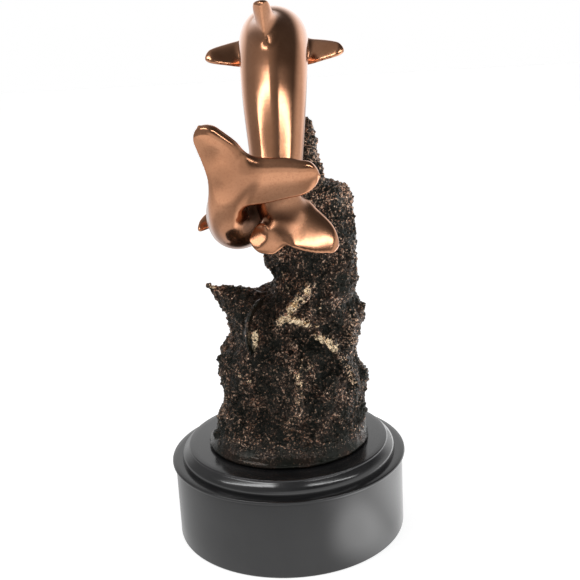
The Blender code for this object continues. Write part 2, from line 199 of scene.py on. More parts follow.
LOWER_FINS = {
    "fluke_right": (
        (18, -316, 130, 15, 3, 59, 25),
        (73, -322, 131, 6, 4, 56, 25),
        (124, -326, 134, 7, 4, 50, 24),
        (165, -330, 134, 7, 4, 43, 23),
        (187, -332, 136, 4, 3, 37, 20),
        (209, -333, 137, 2, 1, 30, 18),
    ),
    "fluke_left": (
        (15, -314, 120, 48, -4, 53, 25),
        (-9, -322, 165, 50, -3, 27, 25),
        (-28, -327, 204, 43, -3, 24, 25),
        (-46, -331, 231, 35, -3, 20, 25),
        (-59, -333, 250, 29, -2, 17, 23),
        (-72, -335, 270, 25, -2, 14, 20),
    ),
    "dorsal_fin": (
        (12, 50, 70, 2, 62, -14, 26),
        (26, 24, 114, 1, 46, -12, 21),
        (38, 4, 138, 1, 32, -9, 18),
        (48, -14, 156, 0, 20, -6, 15),
        (55, -29, 169, 0, 10, -3, 11),
    ),
    "pectoral_left": (
        (-60, 240, -45, 0, 54, 14, 20),
        (-92, 222, -58, -2, 46, 12, 18),
        (-114, 200, -66, -4, 35, 10, 16),
        (-128, 180, -72, -4, 23, 7, 13),
        (-136, 165, -75, -2, 13, 3, 10),
    ),
    "pectoral_right": (
        (55, 262, -72, 0, 54, 10, 20),
        (90, 244, -98, 2, 46, 8, 18),
        (114, 222, -116, 4, 35, 6, 16),
        (130, 202, -128, 4, 23, 4, 13),
        (138, 188, -134, 2, 13, 3, 10),
    ),
}

# Where the flukes run together: a place as shares of the length from the seat, and its reach
UPPER_WEB = (0.002, -0.262, -0.240, 0.062)
LOWER_WEB = (0.030, -0.335, 0.170, 0.030)
WEB_ROUNDS = 160

# The flat on the upper dolphin's left fluke tip, in the same form, and the way that it faces.
# Then its stretch, the share of its reach that is level and of its bulge that stays, and how
# far and in how many rounds its edge is eased.
TIP_FLAT = (-0.0620, -0.3000, -0.2580, 0.040, (-0.340, -0.695, 0.633))
FLAT_SHAPE = (1, 1, 0.7)
FLAT_CORE = 0.8
FLAT_KEPT = 0.02
FLAT_EASING = 1.4
FLAT_ROUNDS = 14

# A place between the upper flukes, in the same form, with painted shade, darker and rougher, where the lower
# dolphin's fluke hides the lamps; and how much of that painted shade the place takes
UPPER_PAINTED_SHADE = (0.026, -0.255, -0.212, 0.050)
PAINTED_SHADE_SHARE = 0.62

# Distance from the other dolphin within which a casting is wholly painted in shade, darker and rougher, and
# from which it is not: painted shade where the castings lie close
PAINTED_SHADE_NEAR = 0.0020
PAINTED_SHADE_FAR = 0.0095

# The head's lines as places on the body: row of its table, then degrees round from the right side
MOUTH = ((0.0, -8), (1.0, -8), (2.0, -10), (3.0, -11), (3.7, -16), (4.2, -19), (4.7, -13), (5.0, -4))
EYE = (5.35, 2)
BLOWHOLE = ((5.50, 70), (5.62, 80), (5.66, 90), (5.62, 100), (5.50, 110))

# Their relief: height, reach and, for what runs round them, how far off it lies
MOUTH_GROOVE = (-0.00050, 0.00055)
MOUTH_LIP = (0.00014, 0.0007, 0.0014)
EYEBALL = (0.00055, 0.00095)
EYE_SOCKET = (-0.00028, 0.0006, 0.0019)
BLOWHOLE_SLIT = (-0.00055, 0.0006)
PATINA_DEPTH = 0.0004

# Lines on the reef that are used more than once below, as points in metres
BRANCH = (
    (0.0159, -0.0296, 0.1450), (0.0126, -0.0325, 0.1429), (0.0094, -0.0340, 0.1393),
    (0.0051, -0.0343, 0.1349), (0.0014, -0.0328, 0.1310), (-0.0013, -0.0299, 0.1266),
)
RIDGE = (
    (0.0185, -0.0305, 0.1180), (0.0222, -0.0318, 0.1161), (0.0262, -0.0312, 0.1124),
    (0.0296, -0.0306, 0.1066), (0.0332, -0.0281, 0.0989), (0.0363, -0.0240, 0.0888),
)
RIB = (
    (0.0064, -0.0343, 0.0995), (0.0076, -0.0371, 0.0950), (0.0067, -0.0396, 0.0878),
    (0.0042, -0.0398, 0.0798), (0.0000, -0.0360, 0.0700),
)
RIDGE_SIDE = ((0.0377, -0.0106, 0.1244), (0.0356, -0.0189, 0.1171), (0.0364, -0.0188, 0.1087))
FOOT_FOLD = ((-0.0276, -0.0210, 0.0663), (-0.0228, -0.0239, 0.0650), (-0.0170, -0.0295, 0.0625))
UPPER_SLIVER = ((-0.0250, -0.0205, 0.1004), (-0.0225, -0.0244, 0.0985), (-0.0190, -0.0270, 0.0974))
LOWER_SLIVER = ((-0.0240, -0.0215, 0.0970), (-0.0205, -0.0252, 0.0948), (-0.0175, -0.0270, 0.0945))

# Copper-rubbed relief of the reef: a reach and a strength, then a line of points
COPPER_LINES = (
    (0.0036, 1.00, BRANCH),
    (0.0046, 0.80, BRANCH[:2]),
    (0.0030, 1.10, (
        (0.0013, -0.0323, 0.1298), (0.0048, -0.0338, 0.1290), (0.0083, -0.0343, 0.1284),
        (0.0123, -0.0337, 0.1269), (0.0164, -0.0317, 0.1250),
    )),
    (0.0034, 1.10, RIDGE[:3]),
    (0.0030, 0.72, RIDGE[2:]),
    (0.0052, 0.55, RIDGE_SIDE),
    (0.0026, 0.85, RIB[:3]),
    (0.0034, 0.62, RIB[2:]),
    (0.0027, 1.30, ((-0.0136, -0.0283, 0.1215), (-0.0141, -0.0287, 0.1180), (-0.0149, -0.0288, 0.1140))),
    (0.0014, 0.80, ((0.0017, -0.0128, 0.1489), (0.0035, -0.0177, 0.1453), (0.0047, -0.0213, 0.1413))),
    (0.0014, 1.00, ((0.0203, -0.0282, 0.1338), (0.0200, -0.0282, 0.1330))),
    (0.0013, 1.00, ((-0.0184, -0.0088, 0.1391), (-0.0182, -0.0088, 0.1388))),
    (0.0024, 0.80, ((-0.0368, -0.0084, 0.1424), (-0.0350, -0.0089, 0.1425))),
    (0.0026, 0.85, ((0.0440, -0.0020, 0.1250), (0.0446, -0.0006, 0.1230))),
    (0.0015, 0.80, ((0.0440, -0.0050, 0.0885), (0.0447, -0.0049, 0.0880))),
    (0.0011, 0.95, LOWER_SLIVER),
    (0.0009, 0.70, UPPER_SLIVER),
    (0.0050, 0.45, FOOT_FOLD),
)

# How much a copper line of strength 1 is rubbed, and how far out that is whole and none: as
# shares of its reach, and in metres round a rim
COPPER_SHARE = 0.75
COPPER_FADE = (0.45, 1.35)
RIM_FADE = (0.0005, 0.0014)

# A copper line grows knobs where its reach and strength are over these
KNOB_REACH = 0.0025
KNOB_STRENGTH = 0.6
KNOB_SPACING = 0.0012

# A knob in its line's reach: how far to the side and to the front, its size and how that varies.
# Then how far round the next one lies, and how far on its size is, in radians.
KNOB_SIDE = 0.55
KNOB_FRONT = 0.25
KNOB_SIZE = (0.44, 0.16)
KNOB_TURN = 2.4
KNOB_BEAT = 1.7

# Rims on the reef: middle, the way that they face and the way of their long axis, then radius,
# stretch and strength. Then half the thickness of a rim's section, and how much higher it is.
RIMS = (
    ((0.0113, -0.0332, 0.1044), (0.25, -1, 0.35), (0, 0, 1), 0.0025, 1.0, 0.95),
    ((0.0040, -0.0318, 0.1112), (-0.1, -1, 0.3), (0.45, 0.2, 1), 0.0021, 2.3, 0.72),
)
RIM_THICKNESS = 0.0008
RIM_STRETCH = 1.6

# The shell's blade, how far out its smooth skin is whole and none, and how far out its line lies
BLADE = (
    (-0.0090, -0.0262, 0.1382), (-0.0131, -0.0296, 0.1350), (-0.0159, -0.0318, 0.1307),
    (-0.0174, -0.0328, 0.1248), (-0.0177, -0.0325, 0.1181), (-0.0163, -0.0300, 0.1105),
)
BLADE_FADE = (0.0022, 0.0040)
BLADE_FRONT = (0, 0.0008, 0)

# Limbs on the reef: a line of points, half-width, half-thickness and the way that the limb faces
LIMBS = (
    (BLADE, 0.0040, 0.0010, (1, -0.25, 0)),
    (
        ((-0.0134, -0.0275, 0.1245), (-0.0140, -0.0284, 0.1185), (-0.0152, -0.0285, 0.1115)),
        0.0020, 0.0016, (0, -1, 0),
    ),
    (
        ((0.0016, -0.0136, 0.1496), (0.0038, -0.0186, 0.1450), (0.0048, -0.0222, 0.1410)),
        0.0009, 0.0008, (0, -1, 0),
    ),
    (
        ((0.0044, -0.0136, 0.1490), (0.0062, -0.0190, 0.1445), (0.0066, -0.0230, 0.1400)),
        0.0007, 0.0007, (0, -1, 0),
    ),
    (UPPER_SLIVER, 0.0010, 0.0011, (0, -1, 0.3)),
    (LOWER_SLIVER, 0.0010, 0.0010, (0, -1, 0.3)),
)

# Beads on the reef: middle and radius
BEADS = (
    ((-0.0184, -0.0088, 0.1391), 0.0012),
    ((0.0203, -0.0286, 0.1338), 0.0014),
    ((-0.0368, -0.0084, 0.1424), 0.0020),
    ((0.0440, -0.0020, 0.1250), 0.0022),
    ((0.0440, -0.0050, 0.0885), 0.0018),
    ((-0.0383, -0.0099, 0.0590), 0.0030),
)

# Hollows and rises of the reef's front, as lines of points, with a reach and a height
RELIEF_LINES = (
    (0.0042, -0.0046, ((-0.0085, -0.0200, 0.1370), (-0.0080, -0.0040, 0.1400), (-0.0070, 0.0120, 0.1420))),
    (0.0052, -0.0032, (
        (-0.0113, -0.0291, 0.1057), (-0.0117, -0.0302, 0.0974), (-0.0113, -0.0288, 0.0874),
        (-0.0130, -0.0243, 0.0760), (-0.0167, -0.0250, 0.0674),
    )),
    (0.0046, -0.0040, ((0.0209, -0.0265, 0.1269), (0.0237, -0.0263, 0.1212), (0.0290, -0.0242, 0.1192))),
    (0.0036, -0.0030, ((-0.0065, -0.0219, 0.1336), (-0.0079, -0.0259, 0.1273), (-0.0090, -0.0260, 0.1166))),
    (0.0030, -0.0024, ((0.0040, -0.0287, 0.1210), (0.0116, -0.0281, 0.1171), (0.0160, -0.0293, 0.1133))),
    (0.0044, -0.0024, ((0.0210, -0.0313, 0.0991), (0.0169, -0.0341, 0.0933), (0.0136, -0.0327, 0.0874))),
    (0.0050, -0.0026, ((0.0252, -0.0203, 0.1844), (0.0300, -0.0205, 0.1791), (0.0318, -0.0193, 0.1838))),
    (0.0052, -0.0020, ((-0.0240, -0.0240, 0.0863), (-0.0268, -0.0199, 0.0791))),
    (0.0040, 0.0016, RIDGE_SIDE),
    (0.0034, 0.0014, FOOT_FOLD),
    (0.0030, 0.0012, ((0.0069, -0.0397, 0.0823), (0.0025, -0.0387, 0.0756), (-0.0014, -0.0325, 0.0675))),
)

# Lumps and waves of the reef's skin: size, then height
ROCK_LUMPS = (0.0075, 0.0015)
ROCK_WAVES = (0.0050, 0.0011)
LUMP_MIDDLE = 0.45

# Grain of the reef's skin, of pebbles and ripples: size, then share. Then the knolls under it.
PEBBLES = (0.0021, 1.1)
RIPPLES = (0.0013, 0.4)
KNOLL_SIZE = 0.0048
GRAIN_HEIGHT = 0.0019
KNOLL_HEIGHT = 0.0010

# Heights over the foot where lumps and grain start and are whole, and their shares below
LUMPS_START = (0.002, 0.016)
GRAIN_START = (0.003, 0.014)
LUMPS_LEAST = 0.15
GRAIN_LEAST = 0.06

# Where along x the reef's copper specks thin out and along z they grow: from none to all of it
FEWER_SPECKS_ALONG_X = (0.006, 0.034)
MORE_SPECKS_ALONG_Z = (0.145, 0.190)

# The bead round the reef's foot: height, reach and how far up it lies
FOOT_BEAD = (0.0008, 0.0009, 0.0011)

# The photograph's camera: its place, its turns in radians, and its lens and sensor in millimetres
CAMERA_PLACE = (0, -0.4826, 0.2667)
CAMERA_PITCH = 0.2654
CAMERA_YAW = 0.0114
CAMERA_ROLL = -0.0529
CAMERA_LENS = 57.59
CAMERA_SENSOR = 36

# Lamps: the start and end of the long side as seen from above, and the depth
SOFTBOXES = {
    "softbox_left": ((-1.65, -0.13), (-0.27, -0.40), 0.17),
    "softbox_right": ((0.33, -0.56), (1.75, -0.36), 0.18),
}
SOFTBOX_HEIGHT = 1.40
SOFTBOX_RADIANCE = 7.0

# The floor, and the places where it throws more light: middle, reach and how much more
FLOOR_REACH = 6
FLOOR_SPOTS = (
    ((0.42, 0.30, 0), 0.42, 2.0),
    ((0.14, 0.03, 0), 0.11, 0.5),
    ((0.17, -0.07, 0), 0.15, 0.9),
    ((0.068, -0.068, 0), 0.045, 1.3),
)
WHITE = (1, 1, 1, 1)


def unit(vector):
    """A vector's direction, at length one."""
    return vector / np.linalg.norm(vector)


def circle(count):
    """Even turns all the way round, as a column."""
    return 2 * math.pi * np.arange(count)[:, None] / count


def heading(points, i):
    """The way that a line of points runs at one of them."""
    return unit(points[min(i + 1, len(points) - 1)] - points[max(i - 1, 0)])


def along(rows, count, crowding=1):
    """Rows of numbers read at count steps along a smooth curve through them, closer towards its end."""
    rows = np.array(rows, float)
    before = 2 * rows[0] - rows[1]
    after = 2 * rows[-1] - rows[-2]
    rows = np.vstack((before, rows, after))
    spans = len(rows) - 3
    found = []
    for place in spans * (1 - (1 - np.linspace(0, 1, count)) ** crowding):
        i = min(int(place), spans - 1)
        t = place - i
        a, b, c, d = rows[i : i + 4]
        found.append(
            b + 0.5 * t * (c - a)
            + t * t * (a - 2.5 * b + 2 * c - 0.5 * d)
            + t * t * t * (1.5 * (b - c) + 0.5 * (d - a))
        )
    return np.array(found)


def rounded_tip(rows):
    """Fin rows drawn in towards the tip, so that it ends in a half circle as wide as its last row."""
    steps = np.linalg.norm(np.diff(rows[:, :3], axis=0), axis=1)
    left = np.append(np.cumsum(steps[::-1])[::-1], 0)
    reach = np.linalg.norm(rows[-1, 3:6])
    near = TIP_END * (1 - np.minimum(left / reach, 1))
    rows[:, 3:] *= np.sqrt(1 - near**2)[:, None]
    return rows


def seat(share):
    """The place that a dolphin's shares are measured from, on the reef."""
    x, y, z = share
    return np.array((REEF_FOOT_RADIUS * x, REEF_FOOT_RADIUS * y, REEF_FOOT + REEF_HEIGHT * z))


def body_rings(rows, length, place):
    """Oval rings of a body, higher or deeper than wide, and rolled."""
    rows = along(np.array(rows) / BODY_PARTS, BODY_RINGS)
    points = place + length * rows[:, :3]
    turns = circle(BODY_SIDES)
    rings = []
    for i, (wide, high, low, roll) in enumerate(rows[:, 3:]):
        ahead = -heading(points, i)
        tilt = math.radians(roll)
        side = np.array((math.cos(tilt), 0, math.sin(tilt)))
        side = unit(side - ahead * (side @ ahead))
        up = np.cross(side, ahead)
        rise = np.where(np.sin(turns) > 0, high, low)
        rings.append(points[i] + length * (side * wide * np.cos(turns) + up * rise * np.sin(turns)))
    return np.array(rings)


def fin_rings(rows, length, place):
    """Lens-shaped rings of a fin, fuller at one edge."""
    rows = rounded_tip(along(np.array(rows) / FIN_PARTS, FIN_RINGS, TIP_CROWDING))
    points = place + length * rows[:, :3]
    turns = circle(FIN_SIDES)
    rise = np.sin(turns) * (1 + FULLER_EDGE * np.cos(turns))
    rings = []
    for i, row in enumerate(rows):
        half = length * row[3:6]
        across = unit(np.cross(heading(points, i), half))
        rings.append(points[i] + half * np.cos(turns) + across * length * row[6] * rise)
    return np.array(rings)


def domed(rings):
    """The rings with a rounded end on each side."""
    made = list(rings)
    for end, inner in ((0, 1), (-1, -2)):
        middle = rings[end].mean(0)
        ahead = unit(middle - rings[inner].mean(0))
        size = np.linalg.norm(rings[end] - middle, axis=1).min()
        caps = []
        for turn in np.radians(np.linspace(0, CAP_TURN, CAP_RINGS))[1:]:
            caps.append(middle + (rings[end] - middle) * math.cos(turn) + ahead * size * math.sin(turn))
        made = caps[::-1] + made if end == 0 else made + caps
    return np.array(made)


def band(start, after, sides):
    """Faces between two loops of points, whose first points have these numbers."""
    turned = [(k + 1) % sides for k in range(sides)]
    return [(start + k, start + j, after + j, after + k) for k, j in enumerate(turned)]


def shell(rings):
    """Points and outward faces of a closed skin over rings."""
    count, sides = rings.shape[:2]
    points = np.vstack((rings.reshape(-1, 3), rings[0].mean(0), rings[-1].mean(0)))
    faces = []
    for i in range(count - 1):
        faces += band(i * sides, (i + 1) * sides, sides)
    first, last = count * sides, count * sides + 1
    for k in range(sides):
        j = (k + 1) % sides
        faces.append((j, k, first))
        faces.append(((count - 1) * sides + k, (count - 1) * sides + j, last))
    corners = points[np.array([face[:3] for face in faces])]
    if np.linalg.det(corners - points.mean(0)).sum() < 0:
        faces = [face[::-1] for face in faces]
    return points, faces


def add_object(name, data):
    thing = bpy.data.objects.new(name, data)
    bpy.context.scene.collection.objects.link(thing)
    return thing


def new_object(name, points, faces):
    mesh = bpy.data.meshes.new(name)
    mesh.from_pydata([tuple(point) for point in points], [], faces)
    return add_object(name, mesh)


def joined(name, shells):
    """One object of several closed skins, which may overlap."""
    points, faces, start = [], [], 0
    for some_points, some_faces in shells:
        points.append(some_points)
        faces += [tuple(start + i for i in face) for face in some_faces]
        start += len(some_points)
    return new_object(name, np.vstack(points), faces)


def reskin(thing, voxel):
    """Gives the object one even skin round all that it holds."""
    change = thing.modifiers.new("skin", "REMESH")
    change.mode = "VOXEL"
    change.voxel_size = voxel
    graph = bpy.context.evaluated_depsgraph_get()
    old, thing.data = thing.data, bpy.data.meshes.new_from_object(thing.evaluated_get(graph))
    thing.modifiers.clear()
    bpy.data.meshes.remove(old)


def read_points(mesh, value="co"):
    """The places of the mesh's points, or their normals."""
    found = np.empty(len(mesh.vertices) * 3, np.float32)
    mesh.vertices.foreach_get(value, found)
    return found.reshape(-1, 3).astype(float)


def write_points(mesh, points):
    mesh.vertices.foreach_set("co", points.astype(np.float32).ravel())
    mesh.update()


def raised(mesh, points, rise):
    """Points moved out from the mesh that they make, each by its own rise."""
    write_points(mesh, points)
    return points + read_points(mesh, "normal") * rise[:, None]


def write_share(mesh, name, values):
    layer = mesh.attributes.new(name, "FLOAT", "POINT")
    layer.data.foreach_set("value", np.clip(values, 0, 1).astype(np.float32))


def edge_ends(mesh):
    ends = np.empty(len(mesh.edges) * 2, np.int32)
    mesh.edges.foreach_get("vertices", ends)
    return ends.reshape(-1, 2)


def to_middle(points, ends):
    """The way from each point to the middle of its neighbours."""
    first, second = ends.T
    count = len(points)
    degree = np.bincount(first, minlength=count) + np.bincount(second, minlength=count)
    total = np.stack([
        np.bincount(first, points[second, axis], count) + np.bincount(second, points[first, axis], count)
        for axis in range(3)
    ], axis=1)
    return total / np.maximum(degree, 1)[:, None] - points


def smoothed(mesh, points, rounds, pull=0.5, push=0.0):
    """Points moved towards their neighbours' middle, and back by push to keep their volume."""
    ends = edge_ends(mesh)
    for _ in range(rounds):
        for share in (pull, -push) if push else (pull,):
            points = points + share * to_middle(points, ends)
    return points


def eased(mesh, points, middle, reach, rounds):
    """Points near a place drawn flat, as where two flukes run together."""
    share = 0.5 * (1 - smoothstep(0.5 * reach, reach, np.linalg.norm(points - middle, axis=1)))
    chosen = np.flatnonzero(share > 0)
    number = np.full(len(points), -1)
    number[chosen] = np.arange(len(chosen))
    ends = number[edge_ends(mesh)]
    ends = ends[(ends >= 0).all(1)]
    made, some = points.copy(), points[chosen]
    for _ in range(rounds):
        some = some + share[chosen, None] * to_middle(some, ends)
    made[chosen] = some
    return made


def planed(points, middle, reach, facing):
    """Points near a place that stand out of a plane through it drawn back to it, as a worn flat."""
    facing = unit(np.array(facing))
    out = (points - middle) @ facing
    away = np.linalg.norm((points - middle) * FLAT_SHAPE, axis=1)
    share = 1 - smoothstep(FLAT_CORE * reach, reach, away)
    return points - facing * (np.maximum(out, 0) * share * (1 - FLAT_KEPT))[:, None]


def smoothstep(low, high, values):
    t = np.clip((values - low) / (high - low), 0, 1)
    return t * t * (3 - 2 * t)


def swell(gap, height, reach, away=0.0):
    """A rounded rise at a distance from something, or a hollow where its height is below zero."""
    return height * np.exp(-(((gap - away) / reach) ** 2))


def distances(points, line):
    """Distance of each point from a line of straight runs."""
    line = np.array(line, float)
    least = np.full(len(points), np.inf)
    for a, b in zip(line, line[1:]):
        run = b - a
        t = np.clip((points - a) @ run / (run @ run), 0, 1)
        least = np.minimum(least, np.linalg.norm(points - a - t[:, None] * run, axis=1))
    return least


def fading(points, line, whole, none):
    """A share that is whole near a line and none far from it."""
    return 1 - smoothstep(whole, none, distances(points, line))


class Form:
    """A closed skin that knows how far a point is from it, below zero inside."""

    def __init__(self, points, faces, fillet):
        self.tree = BVHTree.FromPolygons([tuple(point) for point in points], faces)
        self.fillet = fillet
        self.low = points.min(0) - FILLETS_ROUND * fillet
        self.high = points.max(0) + FILLETS_ROUND * fillet

    def signed(self, point):
        place, normal, _, distance = self.tree.find_nearest(point)
        away = point - place
        if distance < 1e-9:
            return 0.0, normal
        if away.dot(normal) < 0:
            return -distance, -away / distance
        return distance, away / distance


def melt(points, forms):
    """Points drawn onto the smooth union of a body and its fins, and how near each is to a root."""
    made = points.copy()
    near = np.zeros(len(points))
    body, fins = forms[0], forms[1:]
    inside = [np.all((points > fin.low) & (points < fin.high), axis=1) for fin in fins]
    for i, start in enumerate(points):
        point = Vector(start)
        close = [fin for fin, some in zip(fins, inside) if some[i]]
        for _ in range(MELT_ROUNDS):
            height, slope = body.signed(point)
            root = 0.0
            for fin in close:
                other, other_slope = fin.signed(point)
                share = min(max(0.5 + 0.5 * (other - height) / fin.fillet, 0), 1)
                root = max(root, 4 * share * (1 - share))
                slope = other_slope * (1 - share) + slope * share
                height = other * (1 - share) + height * share - fin.fillet * share * (1 - share)
            point = point - slope * (height / max(slope.length_squared, MELT_SLOPE))
        made[i] = point
        near[i] = root
    return made, near


def on_body(rings, place):
    """A point on the body's skin: place is a row of its table and degrees round."""
    row, degrees = place
    i = row / (len(UPPER_BODY) - 1) * (len(rings) - 1)
    k = degrees / 360 * BODY_SIDES
    low, part = int(i), i - int(i)
    ring = rings[low] * (1 - part) + rings[min(low + 1, len(rings) - 1)] * part
    side = math.floor(k)
    part = k - side
    return ring[side % BODY_SIDES] * (1 - part) + ring[(side + 1) % BODY_SIDES] * part


def mirrored(places):
    return [(row, 180 - degrees) for row, degrees in places]


def head_relief(points, rings):
    """How far the head's skin rises or sinks: mouth line, eyes and blowhole."""
    rise = np.zeros(len(points))
    for places in (MOUTH, mirrored(MOUTH)):
        line = [on_body(rings, (row, turn)) for row, turn in along(places, 40)]
        gap = distances(points, line)
        rise += swell(gap, *MOUTH_GROOVE)
        rise += swell(gap, *MOUTH_LIP)
    for place in (EYE, *mirrored([EYE])):
        gap = np.linalg.norm(points - on_body(rings, place), axis=1)
        rise += swell(gap, *EYEBALL)
        rise += swell(gap, *EYE_SOCKET)
    line = [on_body(rings, place) for place in BLOWHOLE]
    rise += swell(distances(points, line), *BLOWHOLE_SLIT)
    return rise


def dolphin(name, rows, fins, length, place, web, flat=None):
    """One casting: body and fins under one skin, with the head's lines pressed in."""
    rings = body_rings(rows, length, place)
    shells = [shell(domed(rings))]
    forms = [Form(*shells[0], FIN_FILLET)]
    for label, fin_rows in fins.items():
        part = shell(domed(fin_rings(fin_rows, length, place)))
        shells.append(part)
        forms.append(Form(*part, FLUKE_FILLET if label.startswith("fluke") else FIN_FILLET))
    thing = joined(name, shells)
    reskin(thing, DOLPHIN_VOXEL)
    mesh = thing.data
    points = smoothed(mesh, read_points(mesh), 3)
    points, root = melt(points, forms)
    points = smoothed(mesh, points, 2, push=PUSH_BACK)
    points = eased(mesh, points, place + length * np.array(web[:3]), length * web[3], WEB_ROUNDS)
    if flat:
        *middle, reach, facing = flat
        middle = place + length * np.array(middle)
        points = planed(points, middle, length * reach, facing)
        points = eased(mesh, points, middle, FLAT_EASING * length * reach, FLAT_ROUNDS)
    rise = head_relief(points, rings)
    write_points(mesh, raised(mesh, points, rise))
    write_share(mesh, "patina", ROOT_PATINA * root + np.clip(-rise / PATINA_DEPTH, 0, 1))
    mesh.shade_smooth()
    return thing, forms


def paint_shade_near_castings(thing, others, satin=None):
    """Marks painted shade, darker and rougher, where the other dolphin is close and, if satin is given, on
    that place between the flukes.
    """
    points = read_points(thing.data)
    least = np.full(len(points), np.inf)
    for form in others:
        near = np.all((points > form.low) & (points < form.high), axis=1)
        for i in np.flatnonzero(near):
            least[i] = min(least[i], form.signed(Vector(points[i]))[0])
    painted_shade = 1 - smoothstep(PAINTED_SHADE_NEAR, PAINTED_SHADE_FAR, least)
    # Painted shade on the place between the upper flukes, where the lower dolphin's fluke hides the lamps
    if satin:
        gap = np.linalg.norm(points - satin[:3], axis=1)
        painted_shade = np.maximum(painted_shade, swell(gap, PAINTED_SHADE_SHARE, satin[3]))
    write_share(thing.data, "painted_shade", painted_shade)


def waves(point, size):
    return noise.noise(point / size)


def lumps(point, size):
    """Rounded lumps with creases between, about zero in the middle."""
    return LUMP_MIDDLE - noise.voronoi(point / size)[0][0]


def bumpy(points, some_lumps, some_waves):
    """Lumps and waves at the points, each with a size and a height."""
    (lump_size, lump_height), (wave_size, wave_height) = some_lumps, some_waves
    return np.array([
        lump_height * lumps(Vector(p), lump_size) + wave_height * waves(Vector(p), wave_size)
        for p in points
    ])


def above_foot(points, low, high):
    """A share that grows between two heights over the reef's foot."""
    return smoothstep(REEF_FOOT + low, REEF_FOOT + high, points[:, 2])


def held_off(points, forms, gap):
    """Points moved out of the dolphins, so that the reef keeps its gap."""
    made = points.copy()
    for form in forms:
        inset = (FILLETS_ROUND - 0.5) * form.fillet
        low, high = form.low + inset, form.high - inset
        for i in np.flatnonzero(np.all((made > low) & (made < high), axis=1)):
            distance, slope = form.signed(Vector(made[i]))
            if distance < gap:
                made[i] += np.array(slope) * (gap - distance)
    return made


def rim_line(middle, outward, along_it, radius, longer, widen=0.0):
    """The uneven loop that a crater's rim follows."""
    out = unit(np.array(outward, float))
    side = np.array(along_it, float)
    side = unit(side - out * (side @ out))
    turns = circle(RIM_STEPS)
    uneven = 1 + 0.12 * np.sin(3 * turns + 1) + 0.08 * np.sin(7 * turns)
    ahead = side * np.cos(turns) * longer + np.cross(out, side) * np.sin(turns)
    return np.array(middle) + ahead * (radius * uneven + widen)


def rim_shell(middle, outward, along_it, radius, longer):
    """A crater's rim: a closed ring, or a longer oval, that faces outward."""
    out = unit(np.array(outward, float))
    points, faces = [], []
    for k in range(RIM_SIDES):
        roll = 2 * math.pi * k / RIM_SIDES
        loop = rim_line(middle, outward, along_it, radius, longer, RIM_THICKNESS * math.cos(roll))
        points.append(loop + out * RIM_THICKNESS * RIM_STRETCH * math.sin(roll))
        faces += band(k * RIM_STEPS, (k + 1) % RIM_SIDES * RIM_STEPS, RIM_STEPS)
    return np.vstack(points), faces


def bead_shell(middle, radius):
    """A rounded nub."""
    turns = circle(LIMB_SIDES)[:, 0]
    rings = []
    for turn in np.radians(np.linspace(-85, 85, 9)):
        rings.append(np.stack((
            middle[0] + radius * math.cos(turn) * np.cos(turns),
            middle[1] + radius * math.cos(turn) * np.sin(turns),
            np.full(LIMB_SIDES, middle[2] + radius * math.sin(turn)),
        ), axis=1))
    return shell(np.array(rings))


def tube_shell(line, wide, thick, facing):
    """A tapering limb along a line of points."""
    spine = along(line, LIMB_RINGS)
    turns = circle(LIMB_SIDES)
    rings = []
    for i, point in enumerate(spine):
        ahead = heading(spine, i)
        side = unit(np.cross(ahead, facing))
        up = np.cross(side, ahead)
        fade = math.sin(math.pi * (0.12 + 0.76 * i / (len(spine) - 1))) ** 0.6
        rings.append(point + side * wide * fade * np.cos(turns) + up * thick * fade * np.sin(turns))
    return shell(domed(np.array(rings)))


def knob_row(line, reach):
    """Beads strewn along a line, as on a knobbly branch."""
    line = np.array(line)
    count = int(np.linalg.norm(np.diff(line, axis=0), axis=1).sum() / KNOB_SPACING) + 2
    size, change = KNOB_SIZE
    knobs = []
    for i, point in enumerate(along(line, count)):
        turn = KNOB_TURN * i
        shift = reach * np.array((KNOB_SIDE * math.sin(turn), -KNOB_FRONT, KNOB_SIDE * math.cos(turn)))
        knobs.append(bead_shell(point + shift, reach * (size + change * math.sin(KNOB_BEAT * i + 1))))
    return knobs


def growths():
    """Small closed skins that stand on the reef: rims, knobs, a shell's blade, slivers and beads."""
    grown = [rim_shell(*rim[:5]) for rim in RIMS]
    for reach, strength, line in COPPER_LINES:
        if reach > KNOB_REACH and strength > KNOB_STRENGTH:
            grown += knob_row(line, reach)
    for line, wide, thick, facing in LIMBS:
        grown.append(tube_shell(line, wide, thick, np.array(facing, float)))
    for middle, radius in BEADS:
        grown.append(bead_shell(middle, radius))
    return grown


